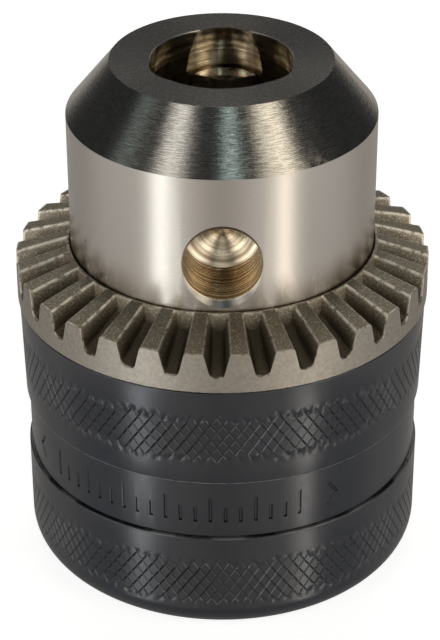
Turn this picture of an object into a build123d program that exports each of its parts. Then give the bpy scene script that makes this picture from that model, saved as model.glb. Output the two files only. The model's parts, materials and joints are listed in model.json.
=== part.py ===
"""A keyed drill chuck for 1.5 to 13 mm shanks, standing on its rear face.

The origin is the centre of the rear face and +Z points to the nose. Each moving piece is modelled where it rests with
the jaws about 11 mm open. All sizes are millimetres and degrees.
"""

from build123d import *
from math import ceil, cos, radians, sin, tan
import os

# Overall form
LENGTH = 56.0
NOSE_R = 11.32
BODY_R = 15.85
CONE_Z = 50.42
BORE_R = 7.15
BORE_FLOOR_Z = 22.0
MOUTH_CHAMFER = 0.12

# Spindle end: a 1/2 inch thread, modelled at its major radius, and the way through to the drill bore
SPINDLE_R = 6.35
SPINDLE_DEPTH = 16.5
SPINDLE_CHAMFER = 0.5
THROUGH_R = 3.3
HUB_R = 15.4

# Jaw holes and jaws: three, tilted in towards the nose
JAW_AZIMUTHS = (87.3, -32.7, 207.3)
JAW_TILT = 15.0
JAW_OFFSET_AT_NOSE = 3.3
JAW_HOLE_R = 4.2
JAW_R = 4.08
JAW_HOLE_FLOOR_Z = 5.0
JAW_TIP_Z = 51.05
JAW_TIP_CHAMFER = 0.25
GRIP_R = 5.5
GRIP_WIDTH = 1.5
GRIP_INCLUDED_ANGLE = 120.0
SLIDE_TO_OPEN = 3.86
JAW_TAIL_Z_WHEN_OPEN = 5.3
JAW_TAIL_R_WHEN_OPEN = 19.45

# The thread between the nut and the jaws, with its pitch measured along a jaw
PITCH = 1.6
THREAD_DEPTH = 0.8
FLANK_ANGLE = 20.0
JAW_GROOVE_FLOOR = 0.6
THREAD_CLEARANCE = 0.13
JAW_THREAD_TOP_Z = 36.4
THREAD_START_AZIMUTH = 180.0
THREAD_ROOT_OVERLAP = 0.15

# Groove, split nut and thrust washer
GROOVE_R = 12.6
GROOVE_TOP_Z = 31.8
NUT_TOP_Z = 31.6
NUT_BOTTOM_Z = 22.6
NUT_R = 18.2
NUT_SPLIT = 0.1
WASHER_TOP_Z = 22.5
WASHER_THICKNESS = 1.0
WASHER_BORE_R = 17.0
WASHER_R = 18.1
REAR_BODY_R = 18.0

# Gear ring: 30 teeth on its front face, with spaces that narrow towards the chuck's axis and get shallower
TEETH = 30
FIRST_SPACE_AZIMUTH = -91.55
GEAR_R = 21.6
GEAR_BORE_R = 15.97
GEAR_BORE_CHAMFER = 0.06
GEAR_EDGE_CHAMFER = 0.2
GEAR_TOP_Z = 35.9
GEAR_TOP_R = 16.25
GEAR_RIM_Z = 34.26
GEAR_BOTTOM_Z = 29.88
ROOT_RIM_Z = 31.67
ROOT_END_Z = 34.15
ROOT_WIDTH = 1.34
ROOT_FILLET = 0.6
SPACE_WIDTH = 2.6
TOOTH_EDGE_R = 0.2
END_WALL_R = 16.25
END_WALL_FOOT_R = 16.5
SPACE_OVERRUN = 1.5
SKIRT_R = 20.2
SKIRT_BOTTOM_Z = 22.0

# Key pilot holes
PILOT_AZIMUTHS = (-90, 30, 150)
PILOT_Z = 40.86
PILOT_R = 3.97
PILOT_FLOOR_R = 8.85
PILOT_POINT_ANGLE = 140.0
PILOT_EDGE_BREAK = 0.1

# Black sleeve and rear ring
SHELL_TOP_R = 21.43
SHELL_LOW_R = 21.19
STEP_TOP_Z = 19.0
STEP_Z = 18.83
BAND_R = 20.87
SHELL_BOTTOM_Z = 12.15
SHELL_BORE_R = 19.85
SHELL_SEAT_Z = 21.9
SHELL_TOP_CHAMFER = 0.25
SHELL_BOTTOM_CHAMFER = 0.12
RING_R = 21.15
RING_TOP_Z = 12.05
RING_BOTTOM_Z = 0.1
RING_BORE_R = 19.7
RING_LIP = 1.4
RING_LIP_R = 15.6
RING_CORNER_R = 3.0
RING_TOP_CHAMFER = 0.25

TILT = radians(JAW_TILT)


def axis_radius(z):
    """Distance of a jaw's axis from the chuck's axis at height z."""
    return JAW_OFFSET_AT_NOSE + (LENGTH - z) * tan(TILT)


def meridian(azimuth):
    """The plane through the chuck's axis at an azimuth: its X is the radius and its Y is the height."""
    a = radians(azimuth)
    return Plane(origin=(0, 0, 0), x_dir=(cos(a), sin(a), 0), z_dir=(sin(a), -cos(a), 0))


def jaw_plane(azimuth, z):
    """The plane square to a jaw's axis, where that axis passes height z. Its normal points along the jaw to the nose."""
    a = radians(azimuth)
    radius = axis_radius(z)
    return Plane(
        origin=(radius * cos(a), radius * sin(a), z),
        x_dir=(-sin(a), cos(a), 0),
        z_dir=(-sin(TILT) * cos(a), -sin(TILT) * sin(a), cos(TILT)),
    )


def on_jaw(along, out):
    """Radius and height of a point `along` a jaw from the nose plane and `out` from the jaw's axis."""
    radius = JAW_OFFSET_AT_NOSE - along * sin(TILT) + out * cos(TILT)
    return radius, LENGTH + along * cos(TILT) + out * sin(TILT)


def along_jaw(z):
    """Distance along a jaw's outermost line from the nose plane to height z."""
    return (z - LENGTH - JAW_R * sin(TILT)) / cos(TILT)


def thread_position(azimuth):
    """Distance along a jaw of one thread groove at an azimuth: a right-hand thread climbs as the azimuth grows."""
    return along_jaw(NUT_TOP_Z + PITCH) + PITCH * (azimuth - THREAD_START_AZIMUTH) / 360


def groove_half_width(out):
    """Half the width of a jaw's thread groove at a distance from the jaw's axis."""
    return JAW_GROOVE_FLOOR / 2 + (out - (JAW_R - THREAD_DEPTH)) * tan(radians(FLANK_ANGLE))


def build_body():
    """The body: one turned piece from the nose to the spindle end, drilled for the jaws and the key."""
    drilled = [build_jaw_hole(azimuth) for azimuth in JAW_AZIMUTHS]
    drilled += [build_pilot_hole(azimuth) for azimuth in PILOT_AZIMUTHS]
    with BuildPart() as body:
        with BuildSketch(Plane.XZ):
            with BuildLine():
                Polyline(
                    (THROUGH_R, BORE_FLOOR_Z),
                    (BORE_R, BORE_FLOOR_Z),
                    (BORE_R, LENGTH - MOUTH_CHAMFER),
                    (BORE_R + MOUTH_CHAMFER, LENGTH),
                    (NOSE_R, LENGTH),
                    (BODY_R, CONE_Z),
                    (BODY_R, GROOVE_TOP_Z),
                    (GROOVE_R, GROOVE_TOP_Z),
                    (GROOVE_R, WASHER_TOP_Z),
                    (WASHER_BORE_R, WASHER_TOP_Z),
                    (WASHER_BORE_R, WASHER_TOP_Z - WASHER_THICKNESS),
                    (REAR_BODY_R, WASHER_TOP_Z - WASHER_THICKNESS),
                    (REAR_BODY_R, JAW_HOLE_FLOOR_Z),
                    (RING_BORE_R, JAW_HOLE_FLOOR_Z),
                    (RING_BORE_R, RING_BOTTOM_Z + RING_CORNER_R),
                    (RING_BORE_R - RING_CORNER_R + RING_LIP, RING_BOTTOM_Z + RING_LIP),
                    (HUB_R, RING_BOTTOM_Z + RING_LIP),
                    (HUB_R, 0),
                    (SPINDLE_R + SPINDLE_CHAMFER, 0),
                    (SPINDLE_R, SPINDLE_CHAMFER),
                    (SPINDLE_R, SPINDLE_DEPTH),
                    (THROUGH_R, SPINDLE_DEPTH),
                    close=True,
                )
            make_face()
        revolve(axis=Axis.Z)
        for hole in drilled:
            add(hole.part, mode=Mode.SUBTRACT)
    return body


def build_jaw_hole(azimuth):
    """The space of a jaw's hole: tilted, from a flat floor above the rear flange out through the mouth."""
    with BuildPart() as hole:
        with BuildSketch(jaw_plane(azimuth, JAW_HOLE_FLOOR_Z - 2 * JAW_HOLE_R)):
            Circle(JAW_HOLE_R)
        extrude(amount=2 * LENGTH)
        split(bisect_by=Plane.XY.offset(JAW_HOLE_FLOOR_Z), keep=Keep.TOP)
    return hole


def build_pilot_hole(azimuth):
    """The space of a radial hole for the key's pilot, with its drill's cone and a broken edge."""
    a = radians(azimuth)
    axis = Axis((0, 0, PILOT_Z), (cos(a), sin(a), 0))
    point_r = PILOT_FLOOR_R - PILOT_R / tan(radians(PILOT_POINT_ANGLE / 2))
    mouth_r = BODY_R + PILOT_R
    edge_r = (BODY_R**2 - PILOT_R**2) ** 0.5
    with BuildPart() as hole:
        with BuildSketch(meridian(azimuth)):
            with BuildLine():
                Polyline(
                    (point_r, PILOT_Z),
                    (PILOT_FLOOR_R, PILOT_Z + PILOT_R),
                    (edge_r - PILOT_EDGE_BREAK, PILOT_Z + PILOT_R),
                    (mouth_r, PILOT_Z + PILOT_R + PILOT_EDGE_BREAK + mouth_r - edge_r),
                    (mouth_r, PILOT_Z),
                    close=True,
                )
            make_face()
        revolve(axis=axis)
    return hole


def build_jaw(azimuth):
    """A jaw: a tilted round bar with a V-shaped grip at its nose end and the nut's thread on its outer side."""
    open_drop = SLIDE_TO_OPEN * cos(TILT)
    open_shift = SLIDE_TO_OPEN * sin(TILT)
    tail_z = JAW_TAIL_Z_WHEN_OPEN + open_drop
    a = radians(azimuth)
    grip = build_grip_sector(azimuth)
    with BuildPart() as jaw:
        with BuildSketch(jaw_plane(azimuth, tail_z - JAW_R)):
            Circle(JAW_R)
        extrude(amount=LENGTH)
        split(bisect_by=Plane.XY.offset(JAW_TIP_Z), keep=Keep.BOTTOM)
        split(bisect_by=Plane.XY.offset(tail_z), keep=Keep.TOP)
        add(grip.part, mode=Mode.INTERSECT)
        outer_edge = jaw.faces().sort_by(Axis.Z)[-1].edges().filter_by(GeomType.LINE, reverse=True)
        chamfer(outer_edge, JAW_TIP_CHAMFER)
        tail_centre = (-open_shift * cos(a), -open_shift * sin(a), tail_z)
        with BuildSketch(Plane(origin=tail_centre, z_dir=(0, 0, 1))):
            Circle(JAW_TAIL_R_WHEN_OPEN)
        extrude(amount=LENGTH, mode=Mode.INTERSECT)
        with BuildSketch(meridian(azimuth)):
            with BuildLine():
                Polyline(thread_comb(azimuth, tail_z), close=True)
            make_face()
        revolve(axis=Axis.Z, mode=Mode.SUBTRACT)
    return jaw


def build_grip_sector(azimuth):
    """The sector that the grip's two flanks enclose, with its edge flattened to a narrow land."""
    a = radians(azimuth)
    half = GRIP_WIDTH / 2
    reach = 4 * JAW_R
    spread = half + reach * tan(radians(GRIP_INCLUDED_ANGLE / 2))
    plane = Plane(origin=(GRIP_R * cos(a), GRIP_R * sin(a), 0), x_dir=(cos(a), sin(a), 0), z_dir=(0, 0, 1))
    with BuildPart() as sector:
        with BuildSketch(plane):
            with BuildLine():
                Polyline((0, -half), (reach, -spread), (reach, spread), (0, half), close=True)
            make_face()
        extrude(amount=LENGTH)
    return sector


def thread_comb(azimuth, tail_z):
    """Outline of the grooves that the nut's thread needs across a jaw's outer side, from its tail upwards."""
    floor = JAW_R - THREAD_DEPTH
    beyond = 2 * JAW_R
    lowest = along_jaw(tail_z)
    highest = along_jaw(JAW_THREAD_TOP_Z)
    first = thread_position(azimuth) - PITCH * ceil((thread_position(azimuth) - lowest) / PITCH)
    clear = THREAD_CLEARANCE / 4
    points = [on_jaw(first - PITCH / 2, beyond), on_jaw(first - PITCH / 2, JAW_R + clear)]
    along = first
    while along < highest:
        for side, out in ((-1, JAW_R + clear), (-1, floor), (1, floor), (1, JAW_R + clear)):
            points.append(on_jaw(along + side * groove_half_width(out), out))
        along += PITCH
    points.append(on_jaw(along, JAW_R + clear))
    points.append(on_jaw(along, beyond))
    return points


def build_nut():
    """The whole nut before it is split: a ring with a conical bore and a right-hand thread in it."""
    bore = JAW_R + THREAD_CLEARANCE
    crest = JAW_R - THREAD_DEPTH + THREAD_CLEARANCE
    bore_top = axis_radius(NUT_TOP_Z) + bore / cos(TILT)
    bore_bottom = axis_radius(NUT_BOTTOM_Z) + bore / cos(TILT)
    start_along = along_jaw(NUT_TOP_Z + PITCH)
    start_radius, start_z = on_jaw(start_along, bore)
    turns_height = NUT_TOP_Z - NUT_BOTTOM_Z + 2 * PITCH
    gap = THREAD_CLEARANCE / cos(radians(FLANK_ANGLE))
    root = bore + THREAD_ROOT_OVERLAP
    with BuildPart() as thread:
        with BuildLine() as path:
            Helix(PITCH, turns_height, start_radius, (0, 0, start_z), (0, 0, -1), JAW_TILT)
        with BuildSketch(meridian(THREAD_START_AZIMUTH)) as profile:
            with BuildLine():
                Polyline(
                    on_jaw(start_along - groove_half_width(crest) + gap, crest),
                    on_jaw(start_along + groove_half_width(crest) - gap, crest),
                    on_jaw(start_along + groove_half_width(root) - gap, root),
                    on_jaw(start_along - groove_half_width(root) + gap, root),
                    close=True,
                )
            make_face()
        sweep(profile.sketch, path=path.line, is_frenet=True)
        with BuildSketch(Plane.XY.offset(NUT_BOTTOM_Z)):
            Circle(NUT_R)
        extrude(amount=NUT_TOP_Z - NUT_BOTTOM_Z, mode=Mode.INTERSECT)
    with BuildPart() as nut:
        with BuildSketch(Plane.XZ):
            with BuildLine():
                Polyline(
                    (bore_top, NUT_TOP_Z),
                    (NUT_R, NUT_TOP_Z),
                    (NUT_R, NUT_BOTTOM_Z),
                    (bore_bottom, NUT_BOTTOM_Z),
                    close=True,
                )
            make_face()
        revolve(axis=Axis.Z)
        add(thread.solids().sort_by(SortBy.VOLUME)[-1])
    return nut


def build_nut_half(nut, side):
    """One half of the nut: side is 1 or -1 along X."""
    keep = Keep.TOP if side > 0 else Keep.BOTTOM
    with BuildPart() as half:
        add(nut.part)
        split(bisect_by=Plane.YZ.offset(side * NUT_SPLIT / 2), keep=keep)
    return half


def build_thrust_washer():
    """The hardened washer on the body's step, under the nut."""
    with BuildPart() as washer:
        with BuildSketch(Plane.XY.offset(WASHER_TOP_Z - WASHER_THICKNESS)):
            Circle(WASHER_R)
            Circle(WASHER_BORE_R, mode=Mode.SUBTRACT)
        extrude(amount=WASHER_THICKNESS)
    return washer


def build_gear_ring():
    """The toothed ring, with the skirt that holds the nut's halves together and carries the sleeve."""
    spaces = build_tooth_spaces()
    with BuildPart() as gear:
        with BuildSketch(Plane.XZ):
            with BuildLine():
                Polyline(
                    (GEAR_BORE_R, NUT_TOP_Z),
                    (GEAR_BORE_R, GEAR_TOP_Z - GEAR_BORE_CHAMFER),
                    (GEAR_BORE_R + GEAR_BORE_CHAMFER, GEAR_TOP_Z),
                    (GEAR_TOP_R, GEAR_TOP_Z),
                    (GEAR_R, GEAR_RIM_Z),
                    (GEAR_R, GEAR_BOTTOM_Z + GEAR_EDGE_CHAMFER),
                    (GEAR_R - GEAR_EDGE_CHAMFER, GEAR_BOTTOM_Z),
                    (SKIRT_R, GEAR_BOTTOM_Z),
                    (SKIRT_R, SKIRT_BOTTOM_Z),
                    (NUT_R, SKIRT_BOTTOM_Z),
                    (NUT_R, NUT_TOP_Z),
                    close=True,
                )
            make_face()
        revolve(axis=Axis.Z)
        add(spaces.part, mode=Mode.SUBTRACT)
    return gear


def line_height(radius, inner, outer):
    """Height at a radius on the straight line through two (radius, height) points."""
    return inner[1] + (outer[1] - inner[1]) * (radius - inner[0]) / (outer[0] - inner[0])


def space_profile(radius):
    """One tooth space's section at a radius, up from its rounded root, with rounded edges where it meets the lands."""
    root_z = line_height(radius, (END_WALL_R, ROOT_END_Z), (GEAR_R, ROOT_RIM_Z))
    land_z = line_height(radius, (GEAR_TOP_R, GEAR_TOP_Z), (GEAR_R, GEAR_RIM_Z))
    scale = radius / GEAR_R
    half_root = ROOT_WIDTH / 2 * scale
    half_top = SPACE_WIDTH / 2 * scale
    side = half_top + 2 * TOOTH_EDGE_R
    plane = Plane(origin=(radius, 0, 0), x_dir=(0, 1, 0), z_dir=(1, 0, 0))
    with BuildSketch(plane) as profile:
        with BuildLine():
            Polyline(
                (-half_root, root_z),
                (half_root, root_z),
                (half_top, land_z),
                (side, land_z),
                (side, land_z + SPACE_OVERRUN),
                (-side, land_z + SPACE_OVERRUN),
                (-side, land_z),
                (-half_top, land_z),
                close=True,
            )
        make_face()
        fillet(profile.vertices().group_by(Axis.Y)[0], ROOT_FILLET * scale)
        land_corners = profile.vertices().group_by(Axis.Y)[-2].sort_by(Axis.X)[1:3]
        fillet(land_corners, TOOTH_EDGE_R)
    return profile


def build_tooth_spaces():
    """All the spaces between the teeth, each closed towards the axis by a steep end wall."""
    outer = space_profile(GEAR_R + SPACE_OVERRUN)
    inner = space_profile(END_WALL_R - SPACE_OVERRUN)
    wall_slope = (END_WALL_FOOT_R - END_WALL_R) / (GEAR_TOP_Z - ROOT_END_Z)
    low = ROOT_RIM_Z - SPACE_OVERRUN
    high = GEAR_TOP_Z + SPACE_OVERRUN
    with BuildPart() as space:
        add(outer.sketch)
        add(inner.sketch)
        loft(ruled=True)
    with BuildPart() as spaces:
        with PolarLocations(0, TEETH, start_angle=FIRST_SPACE_AZIMUTH):
            add(space.part)
        with BuildSketch(Plane.XZ):
            with BuildLine():
                Polyline(
                    (END_WALL_R - 2 * SPACE_OVERRUN, low),
                    (END_WALL_R + wall_slope * (GEAR_TOP_Z - low), low),
                    (END_WALL_R + wall_slope * (GEAR_TOP_Z - high), high),
                    (END_WALL_R - 2 * SPACE_OVERRUN, high),
                    close=True,
                )
            make_face()
        revolve(axis=Axis.Z, mode=Mode.SUBTRACT)
    return spaces


def build_sleeve_shell():
    """The black outer sleeve: a plain band to be knurled above, a slightly smaller marked band below."""
    with BuildPart() as shell:
        with BuildSketch(Plane.XZ):
            with BuildLine():
                Polyline(
                    (SKIRT_R, GEAR_BOTTOM_Z),
                    (SHELL_TOP_R - SHELL_TOP_CHAMFER, GEAR_BOTTOM_Z),
                    (SHELL_TOP_R, GEAR_BOTTOM_Z - SHELL_TOP_CHAMFER),
                    (SHELL_LOW_R, STEP_TOP_Z),
                    (BAND_R, STEP_Z),
                    (BAND_R, SHELL_BOTTOM_Z + SHELL_BOTTOM_CHAMFER),
                    (BAND_R - SHELL_BOTTOM_CHAMFER, SHELL_BOTTOM_Z),
                    (SHELL_BORE_R, SHELL_BOTTOM_Z),
                    (SHELL_BORE_R, SHELL_SEAT_Z),
                    (SKIRT_R, SHELL_SEAT_Z),
                    close=True,
                )
            make_face()
        revolve(axis=Axis.Z)
    return shell


def build_rear_ring():
    """The black rear ring: a drawn cup pressed on the body's rear flange."""
    inner_corner = RING_CORNER_R - RING_LIP
    with BuildPart() as ring:
        with BuildSketch(Plane.XZ):
            with BuildLine():
                Polyline(
                    (RING_LIP_R, RING_BOTTOM_Z + RING_LIP),
                    (RING_LIP_R, RING_BOTTOM_Z),
                    (RING_R - RING_CORNER_R, RING_BOTTOM_Z),
                )
                RadiusArc(
                    (RING_R - RING_CORNER_R, RING_BOTTOM_Z),
                    (RING_R, RING_BOTTOM_Z + RING_CORNER_R),
                    -RING_CORNER_R,
                )
                Polyline(
                    (RING_R, RING_BOTTOM_Z + RING_CORNER_R),
                    (RING_R, RING_TOP_Z - RING_TOP_CHAMFER),
                    (RING_R - RING_TOP_CHAMFER, RING_TOP_Z),
                    (RING_BORE_R, RING_TOP_Z),
                    (RING_BORE_R, RING_BOTTOM_Z + RING_LIP + inner_corner),
                    (RING_BORE_R - inner_corner, RING_BOTTOM_Z + RING_LIP),
                    (RING_LIP_R, RING_BOTTOM_Z + RING_LIP),
                )
            make_face()
        revolve(axis=Axis.Z)
    return ring


def write(piece, label):
    """Labels a finished piece and writes its STEP file."""
    piece.part.label = label
    export_step(piece.part, f"parts/{label}.step")


os.makedirs("parts", exist_ok=True)

chuck_body = build_body()
write(chuck_body, "chuck_body")

for number, jaw_azimuth in enumerate(JAW_AZIMUTHS, start=1):
    jaw = build_jaw(jaw_azimuth)
    write(jaw, f"jaw_{number}")

whole_nut = build_nut()
nut_half_a = build_nut_half(whole_nut, 1)
write(nut_half_a, "nut_half_a")
nut_half_b = build_nut_half(whole_nut, -1)
write(nut_half_b, "nut_half_b")

thrust_washer = build_thrust_washer()
write(thrust_washer, "thrust_washer")

gear_ring = build_gear_ring()
write(gear_ring, "gear_ring")

sleeve_shell = build_sleeve_shell()
write(sleeve_shell, "sleeve_shell")

rear_ring = build_rear_ring()
write(rear_ring, "rear_ring")
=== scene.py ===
"""The keyed drill chuck's looks: knurls, engraved marks, spindle thread, finishes, studio and camera."""

import json
from math import atan2, cos, pi, radians, sin, tan
from types import SimpleNamespace

import bmesh
import bpy
from mathutils import Matrix, Vector


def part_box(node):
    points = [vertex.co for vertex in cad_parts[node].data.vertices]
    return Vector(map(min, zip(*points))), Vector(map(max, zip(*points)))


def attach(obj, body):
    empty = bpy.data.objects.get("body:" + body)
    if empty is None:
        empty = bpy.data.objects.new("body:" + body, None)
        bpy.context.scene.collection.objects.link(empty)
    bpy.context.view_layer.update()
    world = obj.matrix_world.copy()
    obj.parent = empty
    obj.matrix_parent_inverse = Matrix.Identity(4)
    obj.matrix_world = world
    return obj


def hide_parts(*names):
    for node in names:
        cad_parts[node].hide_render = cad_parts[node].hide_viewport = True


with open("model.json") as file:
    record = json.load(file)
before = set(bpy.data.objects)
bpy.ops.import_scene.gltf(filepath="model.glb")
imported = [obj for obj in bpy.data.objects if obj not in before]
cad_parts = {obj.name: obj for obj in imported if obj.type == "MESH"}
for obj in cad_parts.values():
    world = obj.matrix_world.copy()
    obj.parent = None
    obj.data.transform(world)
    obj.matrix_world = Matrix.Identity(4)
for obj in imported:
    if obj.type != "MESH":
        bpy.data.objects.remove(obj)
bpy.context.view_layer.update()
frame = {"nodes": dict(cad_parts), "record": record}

MM = 0.001

# Camera: aimed at a point beside the chuck's axis
CAMERA_PITCH = radians(30.91)
CAMERA_ROLL = radians(-0.19)
CAMERA_DISTANCE = 239.39 * MM
CAMERA_TARGET = Vector((-0.26 * MM, 0, 25.45 * MM))
CAMERA_LENS = 125.86
SENSOR_WIDTH = 36

# Knurl: grooves of two opposite hands. Widths and steps are shares of the distance between two grooves.
KNURL_GROOVES = 108
KNURL_ANGLE = radians(34.5)
KNURL_DEPTH = 0.095 * MM
KNURL_HALF_WIDTH = 0.1
KNURL_RUN_OUT = 1.5 * MM
KNURL_STEPS = (0.0, KNURL_HALF_WIDTH, 0.5, 1 - KNURL_HALF_WIDTH)

# Engraved marks: ticks between two arrowheads, counted from the first arrowhead round the sleeve
FIRST_MARK_AZIMUTH = radians(-154)
MARK_PITCH = 1.55 * MM
TICKS = 19
TICKS_START = 2.2
ARROWS_APART = TICKS + 3.4
ARROW_LENGTH = 0.9 * MM
STROKE = 0.4 * MM
ENGRAVING_DEPTH = 0.17 * MM

# Shading turns sharp where faces meet at more than this
SHARP_ANGLE = radians(28)
KNURL_SHARP_ANGLE = radians(20)


def mount(name):
    """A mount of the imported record."""
    return next(m for m in frame["record"]["mounts"] if m["name"] == name)


# Key pilot holes, evenly spaced round the body. Their drill points end just outside PILOT_END_R.
PILOT_HOLES = 3
FIRST_PILOT_AZIMUTH = -pi / 2
PILOT_R = mount("key_pilot_hole_1")["dims"]["r_mm"] * MM
PILOT_Z = mount("key_pilot_hole_1")["pos_m"][2]
PILOT_END_R = 7.25 * MM

# Spindle thread: 20 threads to the inch
SPINDLE_R = mount("spindle_thread")["dims"]["r_mm"] * MM
SPINDLE_LENGTH = mount("spindle_thread")["dims"]["length_mm"] * MM
SPINDLE_PITCH = 25.4 / 20 * MM

# The body. INSIDE_R is between its bore and its cone.
NOSE_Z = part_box("chuck_body")[1].z
CONE_FOOT_Z = NOSE_Z - 5.58 * MM
BODY_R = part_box("chuck_body")[1].x
BORE_R = 7.15 * MM
INSIDE_R = 11.15 * MM
JAW_TIP_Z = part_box("jaw_1")[1].z

# The gear ring's teeth. Their lands lie on a cone round the chuck's axis.
TEETH = 30
FIRST_SPACE_AZIMUTH = radians(-91.55)
SPACE_HALF_ANGLE = atan2(1.3, 21.6)
GEAR_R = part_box("gear_ring")[1].x
GEAR_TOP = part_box("gear_ring")[1].z
LAND_APEX_Z = GEAR_TOP + 5.0 * MM
LAND_SLOPE = 0.3065
LAND_INNER_R = GEAR_R - 5.2 * MM

# Height of the sleeve's step above its lower end
SLEEVE_STEP = 6.8 * MM


def around(radius, azimuth, z):
    return Vector((radius * cos(azimuth), radius * sin(azimuth), z))


def low_high(node):
    """Lowest and highest z of a CAD node, and its largest radius."""
    low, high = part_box(node)
    return low.z, high.z, max(high.x, -low.x, high.y, -low.y)


# ---------------------------------------------------------------- node helpers


class Tree:
    """Short ways to add nodes to a material's or the world's node tree. Colours are (red, green, blue)."""

    def __init__(self, owner):
        owner.use_nodes = True
        self.tree = owner.node_tree
        self.tree.nodes.clear()

    def add(self, kind, **settings):
        node = self.tree.nodes.new(kind)
        for name, value in settings.items():
            setattr(node, name, value)
        return node

    def link(self, source, target):
        self.tree.links.new(source, target)

    def feed(self, socket, value):
        """Sets a socket to a number or colour, or links it to another socket."""
        if isinstance(value, bpy.types.NodeSocket):
            self.link(value, socket)
        else:
            socket.default_value = (*value, 1) if isinstance(value, tuple) else value

    def show(self, shader, output="ShaderNodeOutputMaterial"):
        """Makes a shader the tree's surface."""
        self.link(shader.outputs[0], self.add(output).inputs["Surface"])

    def math(self, operation, *values):
        node = self.add("ShaderNodeMath", operation=operation)
        for socket, value in zip(node.inputs, values):
            self.feed(socket, value)
        return node.outputs[0]

    def times(self, first, *others):
        """The product of several values or shares."""
        for other in others:
            first = self.math("MULTIPLY", first, other)
        return first

    def minus(self, first, second):
        return self.math("SUBTRACT", first, second)

    def weighted(self, *terms):
        """The sum of several values, each given with its weight."""
        total, *others = [self.times(value, weight) for value, weight in terms]
        for other in others:
            total = self.math("ADD", total, other)
        return total

    def length(self, first, second):
        """The length of the diagonal of two sides."""
        return self.math("SQRT", self.math("ADD", self.times(first, first), self.times(second, second)))

    def smooth(self, value, start, end):
        """A smooth share: 0 at start and 1 at end, whichever way round they are."""
        node = self.add("ShaderNodeMapRange", interpolation_type="SMOOTHSTEP")
        self.feed(node.inputs["Value"], value)
        node.inputs["From Min"].default_value = min(start, end)
        node.inputs["From Max"].default_value = max(start, end)
        node.inputs["To Min"].default_value = 0.0 if start < end else 1.0
        node.inputs["To Max"].default_value = 1.0 if start < end else 0.0
        return node.outputs["Result"]

    def mix(self, factor, first, second):
        """A colour between first and second."""
        node = self.add("ShaderNodeMix", data_type="RGBA")
        colour_a, colour_b = [s for s in node.inputs if s.type == "RGBA"]
        self.feed(node.inputs["Factor"], factor)
        self.feed(colour_a, first)
        self.feed(colour_b, second)
        return next(s for s in node.outputs if s.type == "RGBA")

    def blend(self, factor, first, second):
        """A number between first and second."""
        node = self.add("ShaderNodeMix", data_type="FLOAT")
        number_a, number_b = [s for s in node.inputs if s.type == "VALUE"][1:3]
        self.feed(node.inputs["Factor"], factor)
        self.feed(number_a, first)
        self.feed(number_b, second)
        return node.outputs["Result"]

    def noise(self, scale, detail, roughness, vector):
        node = self.add("ShaderNodeTexNoise")
        node.inputs["Scale"].default_value = scale
        node.inputs["Detail"].default_value = detail
        node.inputs["Roughness"].default_value = roughness
        self.link(vector, node.inputs["Vector"])
        return node.outputs["Fac"]

    def lines(self, along, pitch, detail=2.0):
        """Noise that changes only along one coordinate, as turning marks do."""
        node = self.add("ShaderNodeTexNoise", noise_dimensions="1D")
        self.feed(node.inputs["W"], self.math("DIVIDE", along, pitch))
        node.inputs["Scale"].default_value = 1.0
        node.inputs["Detail"].default_value = detail
        return node.outputs["Fac"]

    def strokes(self, azimuth, per_radian, along, pitch, detail, roughness):
        """Noise in short strokes that run round the chuck's axis."""
        node = self.add("ShaderNodeCombineXYZ")
        self.feed(node.inputs[0], self.times(azimuth, per_radian))
        self.feed(node.inputs[1], self.math("DIVIDE", along, pitch))
        return self.noise(1.0, detail, roughness, node.outputs[0])

    def bump(self, height, strength, distance, normal=None):
        node = self.add("ShaderNodeBump")
        node.inputs["Strength"].default_value = strength
        node.inputs["Distance"].default_value = distance
        self.link(height, node.inputs["Height"])
        if normal is not None:
            self.link(normal, node.inputs["Normal"])
        return node.outputs["Normal"]

    def place(self):
        """The object-space position: a vector, and X, Y, Z, radius and azimuth round the chuck's axis."""
        where = self.add("ShaderNodeTexCoord").outputs["Object"]
        split = self.add("ShaderNodeSeparateXYZ")
        self.link(where, split.inputs[0])
        x, y, z = split.outputs
        azimuth = self.math("ARCTAN2", y, x)
        return SimpleNamespace(where=where, x=x, y=y, z=z, radius=self.length(x, y), azimuth=azimuth)

    def stretched(self, where, scale_z):
        """The position with its height scaled, for noise that is longer upwards."""
        node = self.add("ShaderNodeVectorMath", operation="MULTIPLY")
        self.link(where, node.inputs[0])
        node.inputs[1].default_value = (1, 1, scale_z)
        return node.outputs[0]

    def patch(self, where, centre, size):
        """A share that fades from 1 at a point to 0 at a distance from it."""
        node = self.add("ShaderNodeVectorMath", operation="DISTANCE")
        self.link(where, node.inputs[0])
        node.inputs[1].default_value = centre
        return self.smooth(node.outputs["Value"], size, 0.0)

    def off_nearest(self, azimuth, first, count):
        """The angle from the nearest of `count` azimuths that are evenly spaced from the first."""
        step = 2 * pi / count
        shifted = self.math("ADD", azimuth, step / 2 - first + 2 * pi)
        return self.minus(self.math("MODULO", shifted, step), step / 2)


# ---------------------------------------------------------------- materials


def steel(name, colour, roughness, anisotropy=0.0, metallic=1.0):
    """A new material whose tangent runs round the chuck's axis. Returns it with its tree and shader."""
    material = bpy.data.materials.new(name)
    tree = Tree(material)
    shader = tree.add("ShaderNodeBsdfPrincipled")
    tree.feed(shader.inputs["Base Color"], colour)
    tree.feed(shader.inputs["Metallic"], metallic)
    tree.feed(shader.inputs["Roughness"], roughness)
    if anisotropy:
        tree.feed(shader.inputs["Anisotropic"], anisotropy)
        tree.feed(shader.inputs["Anisotropic Rotation"], 0.25)
        tangent = tree.add("ShaderNodeTangent", direction_type="RADIAL", axis="Z")
        tree.link(tangent.outputs[0], shader.inputs["Tangent"])
    tree.show(shader)
    return material, tree, shader


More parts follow.
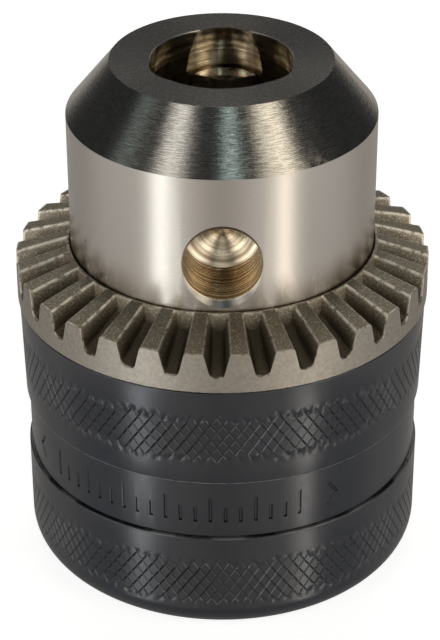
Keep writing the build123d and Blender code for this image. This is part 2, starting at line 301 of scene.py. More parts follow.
# The body's colours. A pair is what a noise mixes.
BODY_TONES = ((0.56, 0.535, 0.51), (0.65, 0.62, 0.585))
CONE_TONE = (0.53, 0.51, 0.48)
CONE_STROKES_AND_GLINTS = ((0.3, 0.29, 0.27), (0.86, 0.83, 0.78))
NOSE_TONES = ((0.46, 0.45, 0.435), (0.6, 0.585, 0.56))
WALL_STROKES = ((0.42, 0.4, 0.375), (0.78, 0.75, 0.71))
STAIN_AND_TOOTH_REFLECTION = (0.15, 0.115, 0.075)
CREVICE = (0.2, 0.14, 0.08)
SPOT = (0.28, 0.2, 0.13)
INSIDE_BANDS_AND_PAINTED_LIGHT = ((0.3, 0.23, 0.15), (0.84, 0.74, 0.58))
PILOT_TIP_SHADE = (0.26, 0.2, 0.13)
DARK_BACK_PATCH = (0.1, 0.08, 0.05)
HAZE = (0.55, 0.44, 0.28)
LIP_HIGHLIGHT = (0.95, 0.92, 0.86)


def body_areas(tree, at):
    """Shares of the body's areas, and how far a place is from a key hole's axis and along it."""
    off_hole = tree.off_nearest(at.azimuth, FIRST_PILOT_AZIMUTH, PILOT_HOLES)
    into_hole = tree.times(at.radius, tree.math("COSINE", off_hole))
    across_hole = tree.times(at.radius, tree.math("SINE", off_hole))
    from_axis = tree.length(across_hole, tree.minus(at.z, PILOT_Z))
    edge = 0.05 * MM
    within = tree.smooth(at.radius, INSIDE_R + edge, INSIDE_R - edge)
    mouth = tree.times(within, tree.smooth(at.z, NOSE_Z - 0.05 * MM, NOSE_Z - 0.13 * MM))
    pilot = tree.times(
        tree.smooth(from_axis, PILOT_R + 0.06 * MM, PILOT_R + 0.02 * MM),
        tree.smooth(into_hole, PILOT_END_R - edge, PILOT_END_R + edge),
    )
    inside = tree.math("MAXIMUM", mouth, pilot)
    return SimpleNamespace(
        nose=tree.times(
            tree.smooth(at.z, NOSE_Z - 0.02 * MM, NOSE_Z - 0.01 * MM),
            tree.smooth(at.radius, BORE_R - edge, BORE_R + edge),
        ),
        cone=tree.times(
            tree.smooth(at.z, CONE_FOOT_Z, CONE_FOOT_Z + 0.03 * MM),
            tree.smooth(at.z, NOSE_Z - 0.01 * MM, NOSE_Z - 0.03 * MM),
            tree.smooth(at.radius, INSIDE_R - edge, INSIDE_R + edge),
        ),
        wall=tree.times(tree.smooth(at.z, CONE_FOOT_Z + 0.03 * MM, CONE_FOOT_Z), tree.minus(1.0, inside)),
        lip=tree.times(
            tree.smooth(at.z, NOSE_Z - 0.15 * MM, NOSE_Z - 0.1 * MM),
            tree.smooth(at.z, NOSE_Z - 0.005 * MM, NOSE_Z - 0.02 * MM),
            within,
        ),
        mouth=mouth,
        pilot=pilot,
        inside=inside,
        from_pilot_axis=from_axis,
        into_pilot=into_hole,
    )


def body_outside(tree, at, area, mark):
    """The colour of the nose's face, cone and wall: ground steel with painted glints, stained near the gear
    ring, where the stain is partly a painted reflection of the teeth.
    """
    tone = tree.noise(180.0, 4.0, 0.6, tree.stretched(at.where, 0.35))
    colour = tree.mix(tone, *BODY_TONES)
    colour = tree.mix(tree.times(area.cone, 0.5), colour, CONE_TONE)
    # Fine light specks on the cone and nose: painted glints. On the cone they mix with the turning marks.
    painted_glints = tree.smooth(tree.noise(6500.0, 2.0, 0.6, at.where), 0.5, 0.7)
    scored_and_glints = tree.weighted((painted_glints, 0.2), (tree.smooth(mark.dashes, 0.34, 0.66), 0.8))
    colour = tree.mix(tree.times(area.cone, 0.7), colour, tree.mix(scored_and_glints, *CONE_STROKES_AND_GLINTS))
    colour = tree.mix(area.nose, colour, tree.mix(painted_glints, *NOSE_TONES))
    ground = tree.weighted((tree.lines(at.z, 0.1 * MM), 0.5), (mark.brushed, 0.5))
    colour = tree.mix(tree.times(area.wall, 0.5), colour, tree.mix(ground, *WALL_STROKES))

    # The stain is strongest at the sides and opposite the tooth spaces; the part that follows the tooth
    # spaces is a painted reflection of the gear's teeth
    low = tree.smooth(at.z, GEAR_TOP + 4.4 * MM, GEAR_TOP + 0.2 * MM)
    smudges = tree.smooth(tree.noise(520.0, 4.0, 0.7, tree.stretched(at.where, 0.45)), 0.33, 0.52)
    beside = tree.smooth(tree.math("ABSOLUTE", at.x), 0.4 * BODY_R, 0.8 * BODY_R)
    spaces = tree.math("COSINE", tree.times(tree.minus(at.azimuth, FIRST_SPACE_AZIMUTH), TEETH))
    painted_tooth_reflection = tree.blend(tree.smooth(spaces, -0.9, 0.9), 0.62, 1.0)
    stain_and_tooth_reflection = tree.times(low, smudges, tree.blend(beside, 0.4, 1.0), painted_tooth_reflection)
    colour = tree.mix(stain_and_tooth_reflection, colour, STAIN_AND_TOOTH_REFLECTION)
    crevice = tree.smooth(at.z, GEAR_TOP + 0.5 * MM, GEAR_TOP - 0.2 * MM)
    broken = tree.smooth(tree.noise(900.0, 3.0, 0.6, at.where), 0.3, 0.6)
    colour = tree.mix(tree.times(crevice, broken), colour, CREVICE)
    spots = tree.smooth(tree.noise(700.0, 2.0, 0.5, at.where), 0.74, 0.8)
    return tree.mix(tree.times(spots, 0.6), colour, SPOT)


def body_inside(tree, at, area, mark):
    """The colour of the mouth and key holes: bands partly brightened as painted light, painted shade
    darkening the tip of each key hole, a darker patch at the back.
    """
    uneven = tree.blend(0.45, mark.bored, tree.noise(600.0, 3.0, 0.6, at.where))
    # Machining bands in the mouth and key holes. Their light colour is partly painted light: brighter than
    # the steel outside, to stand in for light bouncing inside.
    bands = tree.smooth(tree.blend(area.pilot, uneven, mark.rings), 0.34, 0.62)
    # Darker towards each key hole's drill point, deep in the hole: painted shade.
    tip = tree.times(area.pilot, tree.smooth(area.from_pilot_axis, 1.9 * MM, 0.3 * MM), 0.55)
    colour = tree.mix(tip, tree.mix(bands, *INSIDE_BANDS_AND_PAINTED_LIGHT), PILOT_TIP_SHADE)
    # A darker patch deep in the mouth, at the back.
    back_patch = tree.patch(at.where, around(10.0 * MM, radians(84), NOSE_Z - 4.2 * MM), 3.4 * MM)
    return tree.mix(tree.smooth(tree.times(area.mouth, back_patch), 0.1, 0.6), colour, DARK_BACK_PATCH)


def body_relief(tree, at, area, mark):
    """The height of the body's marks: grinding on the wall, turning on the cone, rings in the bores."""
    grinding = tree.lines(at.z, 0.05 * MM)
    turning = tree.lines(tree.minus(at.z, at.radius), 0.09 * MM)
    sparkle = tree.noise(5200.0, 3.0, 0.7, at.where)
    relief = tree.weighted((grinding, 0.2), (mark.brushed, 0.5))
    relief = tree.blend(area.cone, relief, tree.weighted((turning, 0.5), (mark.dashes, 0.5), (sparkle, 0.1)))
    relief = tree.blend(area.nose, relief, tree.times(tree.noise(3400.0, 3.0, 0.7, at.where), 0.25))
    relief = tree.blend(area.mouth, relief, tree.times(mark.bored, 3.0))
    return tree.blend(area.pilot, relief, tree.times(mark.rings, 5.0))


def ground_steel():
    """The body: ground on its wall, turned on its cone; in its mouth and key holes, bands partly brightened
    as painted light, painted shade at the key holes' tips and a darker patch at the back.
    """
    material, tree, shader = steel("ground_steel_finish", (0.6, 0.575, 0.545), 0.31, anisotropy=0.56)
    at = tree.place()
    area = body_areas(tree, at)
    mark = SimpleNamespace(
        brushed=tree.strokes(at.azimuth, 26.0, at.z, 0.13 * MM, 3.0, 0.65),
        dashes=tree.strokes(at.azimuth, 11.0, tree.minus(at.z, at.radius), 0.16 * MM, 4.0, 0.7),
        bored=tree.lines(at.z, 0.55 * MM, 3.0),
        rings=tree.lines(area.into_pilot, 0.34 * MM, 3.0),
    )
    streaks = tree.noise(1500.0, 4.0, 0.7, at.where)
    hazy = tree.patch(at.where, around(BODY_R * 0.93, radians(-52), NOSE_Z - 4.6 * MM), 4.2 * MM)
    haze = tree.times(area.cone, hazy, tree.smooth(streaks, 0.42, 0.6))
    colour = tree.mix(area.inside, body_outside(tree, at, area, mark), body_inside(tree, at, area, mark))
    # A near-white band round the mouth's rim: a painted highlight.
    colour = tree.mix(area.lip, tree.mix(haze, colour, HAZE), LIP_HIGHLIGHT)
    tree.link(colour, shader.inputs["Base Color"])

    rough = tree.blend(area.cone, 0.31, tree.blend(streaks, 0.12, 0.26))
    rough = tree.blend(haze, rough, 0.6)
    rough = tree.blend(area.nose, rough, tree.blend(tree.noise(2600.0, 3.0, 0.7, at.where), 0.23, 0.3))
    rough = tree.blend(area.inside, rough, tree.blend(tree.noise(900.0, 3.0, 0.6, at.where), 0.1, 0.26))
    tree.link(rough, shader.inputs["Roughness"])
    tree.link(tree.bump(body_relief(tree, at, area, mark), 0.9, 0.014 * MM), shader.inputs["Normal"])
    return material


GEAR_TONES = ((0.28, 0.243, 0.19), (0.72, 0.66, 0.54))
GEAR_PATCH = (0.37, 0.328, 0.265)
SPACE_SHADE = (0.11, 0.088, 0.064)
WORN_EDGE_AND_GLINT = (0.86, 0.81, 0.72)
RIM_TONES = ((0.37, 0.343, 0.302), (0.49, 0.457, 0.41))


def worn_and_glinting_tooth_edges(tree, at, below_land):
    """A share along the teeth's edges, at one angle from each space's middle whatever the radius. The edges
    are worn bright, partly painted glints.
    """
    off_middle = tree.math("ABSOLUTE", tree.off_nearest(at.azimuth, FIRST_SPACE_AZIMUTH, TEETH))
    off_edge = tree.times(tree.math("ABSOLUTE", tree.minus(off_middle, SPACE_HALF_ANGLE)), at.radius)
    high = tree.smooth(below_land, 0.5 * MM, 0.1 * MM)
    side = tree.times(tree.smooth(off_edge, 0.2 * MM, 0.06 * MM), high)
    outer = tree.smooth(at.radius, GEAR_R - 0.3 * MM, GEAR_R - 0.12 * MM)
    inner = tree.times(tree.smooth(at.radius, LAND_INNER_R, LAND_INNER_R - 0.2 * MM), high, 0.5)
    edges = tree.math("MAXIMUM", side, tree.math("MAXIMUM", outer, inner))
    return tree.times(edges, tree.smooth(tree.noise(1500.0, 3.0, 0.6, at.where), 0.34, 0.56))


def sintered_steel():
    """The gear ring: sintered powder, grainy with partly painted glints, painted shade deepening into the
    tooth spaces, worn edges partly painted as glints, smoother round its rim.
    """
    material, tree, shader = steel("sintered_steel_finish", (0.4, 0.36, 0.31), 0.5)
    at = tree.place()
    rim = tree.smooth(at.radius, GEAR_R - 0.05 * MM, GEAR_R - 0.01 * MM)
    land_z = tree.minus(LAND_APEX_Z, tree.times(at.radius, LAND_SLOPE))
    below_land = tree.minus(land_z, at.z)
    grain_and_glints = tree.smooth(tree.noise(6200.0, 2.0, 0.6, at.where), 0.46, 0.72)
    patches = tree.noise(420.0, 3.0, 0.6, at.where)
    edges = worn_and_glinting_tooth_edges(tree, at, below_land)

    # Light specks on the teeth: the sintered grain, partly painted glints.
    colour = tree.mix(grain_and_glints, *GEAR_TONES)
    colour = tree.mix(tree.times(patches, 0.4), colour, GEAR_PATCH)
    # Darker with depth below the lands: painted shade in the tooth spaces.
    colour = tree.mix(tree.times(tree.smooth(below_land, 0.5 * MM, 2.2 * MM), 0.84), colour, SPACE_SHADE)
    # Light colour along the teeth's edges: wear, partly painted glints.
    colour = tree.mix(edges, colour, WORN_EDGE_AND_GLINT)
    turned = tree.smooth(tree.noise(2400.0, 5.0, 0.75, at.where), 0.3, 0.7)
    tree.link(tree.mix(rim, colour, tree.mix(turned, *RIM_TONES)), shader.inputs["Base Color"])
    rough = tree.blend(edges, tree.blend(grain_and_glints, 0.5, 0.3), 0.34)
    tree.link(tree.blend(rim, rough, 0.46), shader.inputs["Roughness"])

    grain = tree.noise(4600.0, 4.0, 0.75, at.where)
    inward = tree.smooth(at.radius, LAND_INNER_R + 1.6 * MM, LAND_INNER_R)
    coarse = tree.blend(inward, grain, tree.times(grain, 1.8))
    height = tree.blend(rim, coarse, tree.times(grain, 0.2))
    tree.link(tree.bump(height, 0.75, 0.08 * MM), shader.inputs["Normal"])
    return material


JAW_TONES = ((0.55, 0.5, 0.43), (0.8, 0.75, 0.66))
JAW_END = (0.3, 0.25, 0.18)
JAW_END_RIM_HIGHLIGHT = (0.95, 0.91, 0.84)
JAW_DISH_R = 6.6 * MM
JAW_DISH_SLOPE = 0.32


def jaw_steel():
    """The jaws: ground and oily, with a front end that looks dished towards its outer rim, where a painted
    highlight lightens it.
    """
    material, tree, shader = steel("jaw_steel_finish", (0.5, 0.45, 0.37), 0.34, anisotropy=0.5)
    at = tree.place()
    tone = tree.noise(800.0, 4.0, 0.6, at.where)
    end = tree.smooth(at.z, JAW_TIP_Z - 0.09 * MM, JAW_TIP_Z - 0.04 * MM)
    # The end's outer rim is lightened near white: a painted highlight.
    rim = tree.times(end, tree.smooth(at.radius, JAW_DISH_R, 7.6 * MM), tree.smooth(tone, 0.3, 0.5))
    colour = tree.mix(tree.times(end, 0.6), tree.mix(tone, *JAW_TONES), JAW_END)
    tree.link(tree.mix(rim, colour, JAW_END_RIM_HIGHLIGHT), shader.inputs["Base Color"])
    tree.link(tree.blend(rim, tree.blend(tone, 0.14, 0.34), 0.3), shader.inputs["Roughness"])
    outward = tree.math("MAXIMUM", tree.minus(at.radius, JAW_DISH_R), 0.0)
    dished = tree.bump(tree.times(end, tree.times(outward, JAW_DISH_SLOPE / MM)), 1.0, 1.0 * MM)
    grinding = tree.lines(at.radius, 0.08 * MM)
    tree.link(tree.bump(grinding, 0.3, 0.01 * MM, dished), shader.inputs["Normal"])
    return material


NUT_TONES = ((0.3, 0.28, 0.25), (0.48, 0.46, 0.42))


def nut_steel():
    """The nut and its washer: machined, with turning marks and oil."""
    material, tree, shader = steel("nut_steel_finish", (0.4, 0.38, 0.35), 0.4, anisotropy=0.4)
    at = tree.place()
    tree.link(tree.mix(tree.noise(700.0, 4.0, 0.6, at.where), *NUT_TONES), shader.inputs["Base Color"])
    turning = tree.lines(tree.math("ADD", at.z, at.radius), 0.09 * MM)
    tree.link(tree.bump(turning, 0.5, 0.01 * MM), shader.inputs["Normal"])
    return material


OXIDE_TONES = ((0.007, 0.0075, 0.011), (0.021, 0.0215, 0.026))
OXIDE_SHEEN = (0.88, 0.93, 1.0)
OXIDE_IOR = 1.62
WORN_OXIDE_AND_SEAM_GLINT = (0.2, 0.2, 0.205)


def black_oxide():
    """The sleeve and rear ring: oiled black oxide, worn grey along the sleeve's step, and along the seam
    rubbed grey with a painted glint.
    """
    material, tree, shader = steel("black_oxide_finish", (0.02, 0.02, 0.023), 0.3, metallic=0.0)
    tree.feed(shader.inputs["IOR"], OXIDE_IOR)
    tree.feed(shader.inputs["Specular Tint"], OXIDE_SHEEN)
    at = tree.place()
    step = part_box("sleeve_shell")[0].z + SLEEVE_STEP
    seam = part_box("rear_ring")[1].z
    worn = tree.times(
        tree.smooth(at.z, step - 0.18 * MM, step - 0.1 * MM),
        tree.smooth(at.z, step + 0.1 * MM, step + 0.02 * MM),
        tree.smooth(tree.noise(1300.0, 3.0, 0.6, at.where), 0.25, 0.6),
    )
    # Grey along the seam on the ring's top edge: rubbed oxide, partly a painted glint.
    rubbed_seam_glint = tree.times(
        tree.smooth(at.z, seam - 0.16 * MM, seam - 0.1 * MM),
        tree.smooth(at.z, seam + 0.04 * MM, seam),
        tree.smooth(tree.noise(260.0, 3.0, 0.6, at.where), 0.4, 0.6),
        0.55,
    )
    mottle = tree.noise(1100.0, 5.0, 0.7, at.where)
    colour = tree.mix(tree.math("MAXIMUM", worn, rubbed_seam_glint), tree.mix(mottle, *OXIDE_TONES), WORN_OXIDE_AND_SEAM_GLINT)
    tree.link(colour, shader.inputs["Base Color"])
    tree.link(tree.blend(mottle, 0.15, 0.3), shader.inputs["Roughness"])
    grain = tree.noise(5200.0, 3.0, 0.6, at.where)
    height = tree.weighted((tree.lines(at.z, 0.12 * MM), 0.35), (grain, 1.0))
    tree.link(tree.bump(height, 0.22, 0.02 * MM), shader.inputs["Normal"])
    return material


FINISHES = {
    "ground_steel": ground_steel(),
    "sintered_steel": sintered_steel(),
    "jaw_steel": jaw_steel(),
    "nut_steel": nut_steel(),
    "black_oxide_steel": black_oxide(),
}


def finish_cad_nodes():
    """Gives each CAD node the finish of its material slot."""
    for part in frame["record"]["subparts"]:
        node = frame["nodes"][part["node"]]
        for slot in node.material_slots:
            slot.material = FINISHES[part["material_slot"]]


# ---------------------------------------------------------------- mesh helpers


def object_from(builder, name):
    """Turns a bmesh into an object of the scene."""
    mesh = bpy.data.meshes.new(name)
    builder.to_mesh(mesh)
    builder.free()
    made = bpy.data.objects.new(name, mesh)
    bpy.context.scene.collection.objects.link(made)
    return made


def shade(mesh, sharp_angle):
    mesh.shade_smooth()
    mesh.set_sharp_from_angle(angle=sharp_angle)


def piece_from(builder, name, body, slot, replaces=(), sharp_angle=SHARP_ANGLE):
    """Turns a bmesh into a piece of the chuck that rides on a body."""
    piece = object_from(builder, name)
    piece.data.materials.append(FINISHES[slot])
    shade(piece.data, sharp_angle)
    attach(piece, body)
    if replaces:
        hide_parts(*replaces)
    return piece


def skin(builder, sections):
    """Joins four-cornered sections into a closed bar."""
    for one, two in zip(sections, sections[1:]):
        for k in range(4):
            builder.faces.new((one[k], one[(k + 1) % 4], two[(k + 1) % 4], two[k]))
    builder.faces.new(sections[0][::-1])
    builder.faces.new(sections[-1])


def groove_depth(azimuth, z, low, high):
    """How deep the knurl is at a place: the rolls pressed unevenly and ran out at the band's edges."""
    wave = sin(3 * azimuth + 0.7) + 0.6 * sin(7 * azimuth + 2.1) + 0.5 * sin(z / (1.9 * MM) + 5 * azimuth)
    ragged = 1 + 0.45 * sin(31 * azimuth + 1) * sin(13 * azimuth)
    share = min(1.0, max(0.0, min(z - low, high - z) / KNURL_RUN_OUT / ragged))
    return KNURL_DEPTH * (1 + 0.16 * wave) * share * share * (3 - 2 * share)


def knurled_band(builder, radius_at, low, high):
    """Adds a diamond-knurled band between two heights and returns its lower and upper edge loops."""
    pitch = 2 * pi / KNURL_GROOVES
    middle = (low + high) / 2
    rise = pitch * radius_at(middle) / tan(KNURL_ANGLE)
    steps = len(KNURL_STEPS)
    verts = {}

    def vertex(a, b):
        """The vertex where step a of one hand's grooves crosses step b of the other's."""
        key = ((a + b) % (2 * steps * KNURL_GROOVES), b - a)
        if key not in verts:
            p = a // steps + KNURL_STEPS[a % steps]
            q = b // steps + KNURL_STEPS[b % steps]
            z = middle + (q - p) / 2 * rise
            azimuth = (p + q) / 2 * pitch
            nearest = min(abs(p - round(p)), abs(q - round(q)))
            depth = groove_depth(azimuth, z, low, high) * max(0.0, 1 - nearest / KNURL_HALF_WIDTH)
            verts[key] = builder.verts.new(around(radius_at(z) - depth, azimuth, z))
        return verts[key]

    rows = int((high - low) / rise) + 2
    for i in range(KNURL_GROOVES):
        for k in range(-rows, rows + 1):
            for a in range(steps * i, steps * (i + 1)):
                for b in range(steps * (i + k), steps * (i + k + 1)):
                    corners = (a, b), (a + 1, b), (a + 1, b + 1), (a, b + 1)
                    builder.faces.new([vertex(*corner) for corner in corners])
    for height, outward in ((low, -1), (high, 1)):
        bmesh.ops.bisect_plane(
            builder,
            geom=builder.verts[:] + builder.edges[:] + builder.faces[:],
            plane_co=(0, 0, height),
            plane_no=(0, 0, outward),
            clear_outer=True,
            dist=1e-7,
        )
    loops = []
    for height in (low, high):
        loop = [e for e in builder.edges if e.is_boundary and abs(e.verts[0].co.z - height) < 1e-6]
        for vert in {v for e in loop for v in e.verts}:
            vert.co = around(radius_at(height), atan2(vert.co.y, vert.co.x), height)
        loops.append(loop)
    return loops


def extend(builder, loop, outline):
    """Extrudes an edge loop round the axis through an outline of (radius, z). Returns the last loop."""
    for radius, z in outline:
        made = bmesh.ops.extrude_edge_only(builder, edges=loop)["geom"]
        for vert in (v for v in made if isinstance(v, bmesh.types.BMVert)):
            vert.co = around(radius, atan2(vert.co.y, vert.co.x), z)
        loop = [e for e in made if isinstance(e, bmesh.types.BMEdge)]
    return loop


def rounded(corner, before, after, radius, steps=5):
    """Points of a small round at a corner between two neighbours, all as (radius, z)."""
    centre = Vector(corner)
    first = centre + (Vector(before) - centre).normalized() * radius
    last = centre + (Vector(after) - centre).normalized() * radius
    points = []
    for n in range(steps + 1):
        t = n / steps
        points.append(tuple(first.lerp(centre, t).lerp(centre.lerp(last, t), t)))
    return points


# ---------------------------------------------------------------- sleeve and rear ring


def knurled_ring(name, node, body, radius_at, band, above, below):
    """A ring with a knurled band. The outlines above and below it run from the band into the bore."""
    builder = bmesh.new()
    low, high = band
    margin = 0.05 * MM
    lower, upper = knurled_band(builder, radius_at, low, high)
    top = extend(builder, upper, [(radius_at(high + margin), high + margin), *above])
    bottom = extend(builder, lower, [(radius_at(low - margin), low - margin), *below])
    bmesh.ops.bridge_loops(builder, edges=top + bottom)
    bmesh.ops.recalc_face_normals(builder, faces=builder.faces[:])
    return piece_from(builder, name, body, "black_oxide_steel", (node,), KNURL_SHARP_ANGLE)


def sleeve():
    """The sleeve: knurled above, a step, and a plain band below."""
    bottom, top, widest = low_high("sleeve_shell")
    low_radius = widest - 0.24 * MM
    band_radius = widest - 0.56 * MM
    bore = widest - 1.23 * MM
    small_bore = widest - 1.58 * MM
    step_top = bottom + SLEEVE_STEP
    step = bottom + 6.63 * MM
    seat = bottom + 9.7 * MM
    top_round = 0.25 * MM
    band = (bottom + 8.95 * MM, bottom + 15.25 * MM)

    def radius_at(z):
        return low_radius + (widest - low_radius) * (z - step_top) / (top - top_round - step_top)

    above = [
        *rounded((widest, top), (widest, band[1]), (bore, top), top_round),
        (bore, top),
        (bore, seat),
    ]
    below = [
        *rounded((low_radius, step_top), (low_radius, band[0]), (band_radius, step), 0.08 * MM, 3),
        (band_radius, step),
        *rounded((band_radius, bottom), (band_radius, step), (small_bore, bottom), 0.14 * MM),
        (small_bore, bottom),
        (small_bore, seat - 0.3 * MM),
        (bore, seat - 0.05 * MM),
    ]
    piece = knurled_ring("sleeve_knurled", "sleeve_shell", "sleeve", radius_at, band, above, below)
    engrave(piece, band_radius, bottom + 1.6 * MM, bottom + 5.0 * MM)
    return piece


def rear_ring():
    """The rear ring: a drawn cup with a large round at its lower corner."""
    bottom, top, widest = low_high("rear_ring")
    bore = widest - 1.45 * MM
    lip = bottom + 1.4 * MM
    lip_radius = widest - 5.55 * MM
    corner = 3.0 * MM
    inner = corner - 1.4 * MM
    band = (bottom + 3.1 * MM, bottom + 9.45 * MM)
    centre = (widest - corner, bottom + corner)
    round_steps = 14
    turn = [radians(-90 * n / round_steps) for n in range(round_steps + 1)]
    above = [
        *rounded((widest, top), (widest, band[1]), (bore, top), 0.26 * MM, 7),
        (bore, top),
        (bore, lip + inner),
        (bore - inner, lip),
        (lip_radius, lip),
    ]
    below = [
        *((centre[0] + corner * cos(a), centre[1] + corner * sin(a)) for a in turn),
        (lip_radius, bottom),
        (lip_radius, lip - 0.2 * MM),
    ]
    return knurled_ring("rear_ring_knurled", "rear_ring", "chuck", lambda z: widest, band, above, below)


# ---------------------------------------------------------------- marks on the sleeve


def stroke(builder, radius, start, end):
    """A cutter for one straight engraved stroke. Its ends are (distance round the sleeve, height)."""
    flare, floor, above_surface = 1.25, 0.4, 0.5
    run = Vector(end) - Vector(start)
    side = Vector((-run.y, run.x)).normalized() * STROKE / 2
    along = run.normalized() * STROKE / 2
    corners = (
        (side * flare, -above_surface),
        (side * floor, 1),
        (side * -floor, 1),
        (side * -flare, -above_surface),
    )
    pieces = max(1, round(abs(run.x) / (0.8 * MM)))
    sections = []
    for n in range(pieces + 1):
        middle = Vector(start).lerp(Vector(end), n / pieces)
        if n == 0:
            middle = middle - along
        if n == pieces:
            middle = middle + along
        section = []
        for offset, depth in corners:
            distance, height = middle + offset
            place = around(radius - depth * ENGRAVING_DEPTH, distance / radius, height)
            section.append(builder.verts.new(place))
        sections.append(section)
    skin(builder, sections)


def marks_cutter(radius, low, high):
    """All the marks as one cutter: graduation ticks, every third one tall, between two arrowheads."""
    builder = bmesh.new()
    tall = high - low
    first = radius * FIRST_MARK_AZIMUTH
    tick_foot = low + tall * 0.12
    for n in range(TICKS):
        distance = first + (n + TICKS_START) * MARK_PITCH
        share = 1.0 if n % 3 == 0 else 0.55
        stroke(builder, radius, (distance, tick_foot), (distance, low + tall * (0.12 + 0.76 * share)))
    for distance, direction in ((first, -1), (first + ARROWS_APART * MARK_PITCH, 1)):
        tip = (distance + direction * ARROW_LENGTH, low + tall / 2)
        for share in (0.15, 0.85):
            stroke(builder, radius, (distance, low + tall * share), tip)
    bmesh.ops.recalc_face_normals(builder, faces=builder.faces[:])
    return object_from(builder, "marks_cutter")


def engrave(piece, radius, low, high):
    """Cuts the marks into the sleeve's lower band."""
    cutter = marks_cutter(radius, low, high)
    cut = piece.modifiers.new("marks", "BOOLEAN")
    cut.operation = "DIFFERENCE"
    cut.solver = "EXACT"
    cut.use_self = True
    cut.object = cutter
    bpy.context.view_layer.update()
    engraved = bpy.data.meshes.new_from_object(piece.evaluated_get(bpy.context.evaluated_depsgraph_get()))
    piece.modifiers.remove(cut)
    spare_meshes = (piece.data, cutter.data)
    piece.data = engraved
    shade(engraved, SHARP_ANGLE)
    bpy.data.objects.remove(cutter)
    for mesh in spare_meshes:
        bpy.data.meshes.remove(mesh)


# ---------------------------------------------------------------- spindle thread


def spindle_thread():
    """The spindle thread's ridge in the rear hole: a right-hand helix that fades out at both ends."""
    steps = 48
    foot = SPINDLE_R - 0.02 * MM
    depth = 0.6 * SPINDLE_PITCH
    half_foot = 0.44 * SPINDLE_PITCH
    half_crest = 0.08 * SPINDLE_PITCH
    count = int((SPINDLE_LENGTH - 2.2 * SPINDLE_PITCH) / SPINDLE_PITCH * steps)
    builder = bmesh.new()
    sections = []
    for n in range(count + 1):
        azimuth = 2 * pi * n / steps
        middle = SPINDLE_PITCH * (1.0 + n / steps)
        grown = min(1.0, n / steps, (count - n) / steps)
        crest = foot - depth * max(0.04, grown)
        corners = ((foot, -half_foot), (crest, -half_crest), (crest, half_crest), (foot, half_foot))
        sections.append([builder.verts.new(around(r, azimuth, middle + z)) for r, z in corners])
    skin(builder, sections)
    bmesh.ops.recalc_face_normals(builder, faces=builder.faces[:])
    return piece_from(builder, "spindle_thread_ridge", "chuck", "ground_steel")


# ---------------------------------------------------------------- studio

ROOM = (0.03, 0.031, 0.032)
ROOM_BEHIND = (0.045, 0.045, 0.045)
TABLE = (0.66, 0.615, 0.57)
OVERHEAD = Vector((0, 0.42, 0.9)).normalized()
OVERHEAD_LIGHT = (1.5, 1.44, 1.34)
WHITE = (1.0, 1.0, 1.0)

# Soft boxes, each laid over those before it. In degrees: azimuth of the middle from the front, half width and
# soft edge, lowest and highest elevation. Then the light.
SOFT_BOXES = (
    (145, 35, 25, -75, -5, (0.4, 0.37, 0.335)),
    (-145, 35, 25, -75, -5, (0.38, 0.36, 0.335)),
    (145, 40, 25, -75, -31, (0.3, 0.285, 0.27)),
    (-145, 40, 25, -75, -31, (0.3, 0.29, 0.275)),
    (161, 8, 5, 20, 40, (1.5, 1.46, 1.38)),
    (-161, 8, 5, 20, 40, (1.3, 1.27, 1.2)),
    (177, 6, 3, 5, 44, (0.025, 0.025, 0.025)),
    (-177, 6, 3, 5, 44, (0.025, 0.025, 0.025)),
    (0, 14, 16, -75, -5, (0.42, 0.385, 0.345)),
    (0, 180, 1, -96, -44, (0.24, 0.23, 0.215)),
    (-48, 30, 8, -8, 22, (1.5, 1.42, 1.28)),
    (48, 30, 8, -8, 22, (1.5, 1.42, 1.28)),
    (0, 9, 9, -8, 22, (0.55, 0.52, 0.47)),
    (-42, 7.5, 4, -29, 12, (2.4, 2.4, 2.28)),
    (-80, 22, 11, -75, -31, (0.29, 0.295, 0.3)),
    (80, 22, 11, -75, -31, (0.27, 0.275, 0.28)),
    (-48.5, 5, 4, -37, -29, (4.8, 4.9, 4.8)),
    (-46, 9.5, 3.5, 18, 64, (1.28, 1.24, 1.15)),
    (45.5, 4.5, 4, -37, 12, (2.55, 2.32, 1.95)),
    (51, 2.8, 2.5, -42, -34, (6.0, 5.5, 4.8)),
    (51, 12, 3, 18, 64, (1.4, 1.28, 1.05)),
    (57.5, 3, 2, 18, 64, (2.4, 2.2, 1.8)),
    (-84, 6, 5, 18, 60, (0.18, 0.215, 0.205)),
    (8.5, 2.8, 2.0, 20, 62, (1.4, 1.75, 1.7)),
)
SOFT_ELEVATION = 5

FLOOR_RADIUS = 3.0
FLOOR_GLOW = 0.87


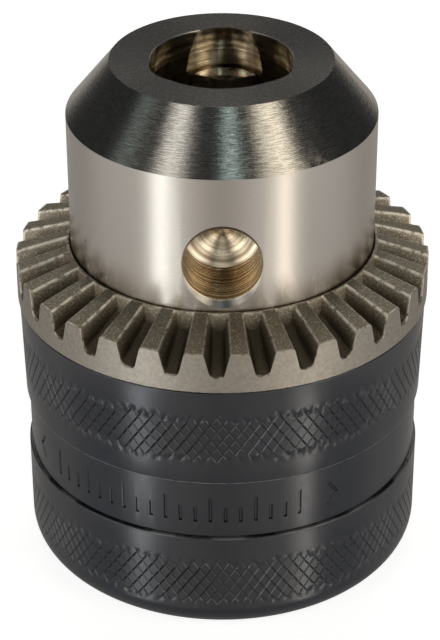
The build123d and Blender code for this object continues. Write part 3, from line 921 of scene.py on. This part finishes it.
def make_world():
    """A studio seen only as light: soft boxes, a dim room and a lit table. The camera sees white."""
    world = bpy.data.worlds.new("studio")
    bpy.context.scene.world = world
    tree = Tree(world)
    direction = tree.add("ShaderNodeTexCoord").outputs["Generated"]
    split = tree.add("ShaderNodeSeparateXYZ")
    tree.link(direction, split.inputs[0])
    x, y, z = split.outputs
    azimuth = tree.math("ARCTAN2", x, tree.times(y, -1.0))
    elevation = tree.math("ARCSINE", z)
    room = tree.mix(tree.smooth(y, 0.62, 0.84), ROOM, ROOM_BEHIND)
    toward = tree.add("ShaderNodeVectorMath", operation="DOT_PRODUCT")
    tree.link(direction, toward.inputs[0])
    toward.inputs[1].default_value = OVERHEAD
    glow = tree.smooth(toward.outputs["Value"], cos(radians(24)), cos(radians(9)))
    room = tree.mix(glow, room, OVERHEAD_LIGHT)

    # The table's edge is lower at the sides and behind
    aside = tree.smooth(tree.math("ABSOLUTE", azimuth), radians(85), radians(105))
    above_edge = tree.math("ADD", elevation, tree.times(aside, radians(12)))
    colour = tree.mix(tree.smooth(above_edge, radians(-9), radians(4)), TABLE, room)
    for centre, half, soft, low, high, light in SOFT_BOXES:
        away = tree.math("ABSOLUTE", tree.minus(azimuth, radians(centre)))
        share = tree.times(
            tree.smooth(away, radians(half + soft), radians(half - soft)),
            tree.smooth(elevation, radians(low - SOFT_ELEVATION), radians(low + SOFT_ELEVATION)),
            tree.smooth(elevation, radians(high + SOFT_ELEVATION), radians(high - SOFT_ELEVATION)),
        )
        colour = tree.mix(share, colour, light)
    seen = tree.add("ShaderNodeLightPath").outputs["Is Camera Ray"]
    background = tree.add("ShaderNodeBackground")
    tree.link(tree.mix(seen, colour, WHITE), background.inputs["Color"])
    tree.show(background, "ShaderNodeOutputWorld")


def make_floor():
    """A pale table top. It glows, so it stays near white, and the steel mirrors the studio instead of it."""
    builder = bmesh.new()
    bmesh.ops.create_circle(builder, cap_ends=True, segments=96, radius=FLOOR_RADIUS)
    floor = object_from(builder, "floor")
    material = bpy.data.materials.new("table_top")
    tree = Tree(material)
    shader = tree.add("ShaderNodeBsdfPrincipled")
    tree.feed(shader.inputs["Base Color"], (0.5, 0.5, 0.5))
    tree.feed(shader.inputs["Roughness"], 0.8)
    tree.feed(shader.inputs["Specular IOR Level"], 0.0)
    tree.feed(shader.inputs["Emission Color"], WHITE)
    tree.feed(shader.inputs["Emission Strength"], FLOOR_GLOW)
    tree.show(shader)
    floor.data.materials.append(material)
    floor.visible_glossy = False


def make_camera():
    data = bpy.data.cameras.new("camera")
    data.lens = CAMERA_LENS
    data.sensor_width = SENSOR_WIDTH
    data.clip_start = 0.01
    data.clip_end = 10
    camera = bpy.data.objects.new("camera", data)
    bpy.context.scene.collection.objects.link(camera)
    back = Vector((0, -cos(CAMERA_PITCH), sin(CAMERA_PITCH)))
    aim = Matrix.Rotation(pi / 2 - CAMERA_PITCH, 4, "X") @ Matrix.Rotation(CAMERA_ROLL, 4, "Z")
    camera.location = CAMERA_TARGET + back * CAMERA_DISTANCE
    camera.rotation_euler = aim.to_euler()
    bpy.context.scene.camera = camera


make_camera()
make_world()
make_floor()
finish_cad_nodes()
sleeve()
rear_ring()
spindle_thread()
bpy.context.scene.view_settings.view_transform = "Standard"
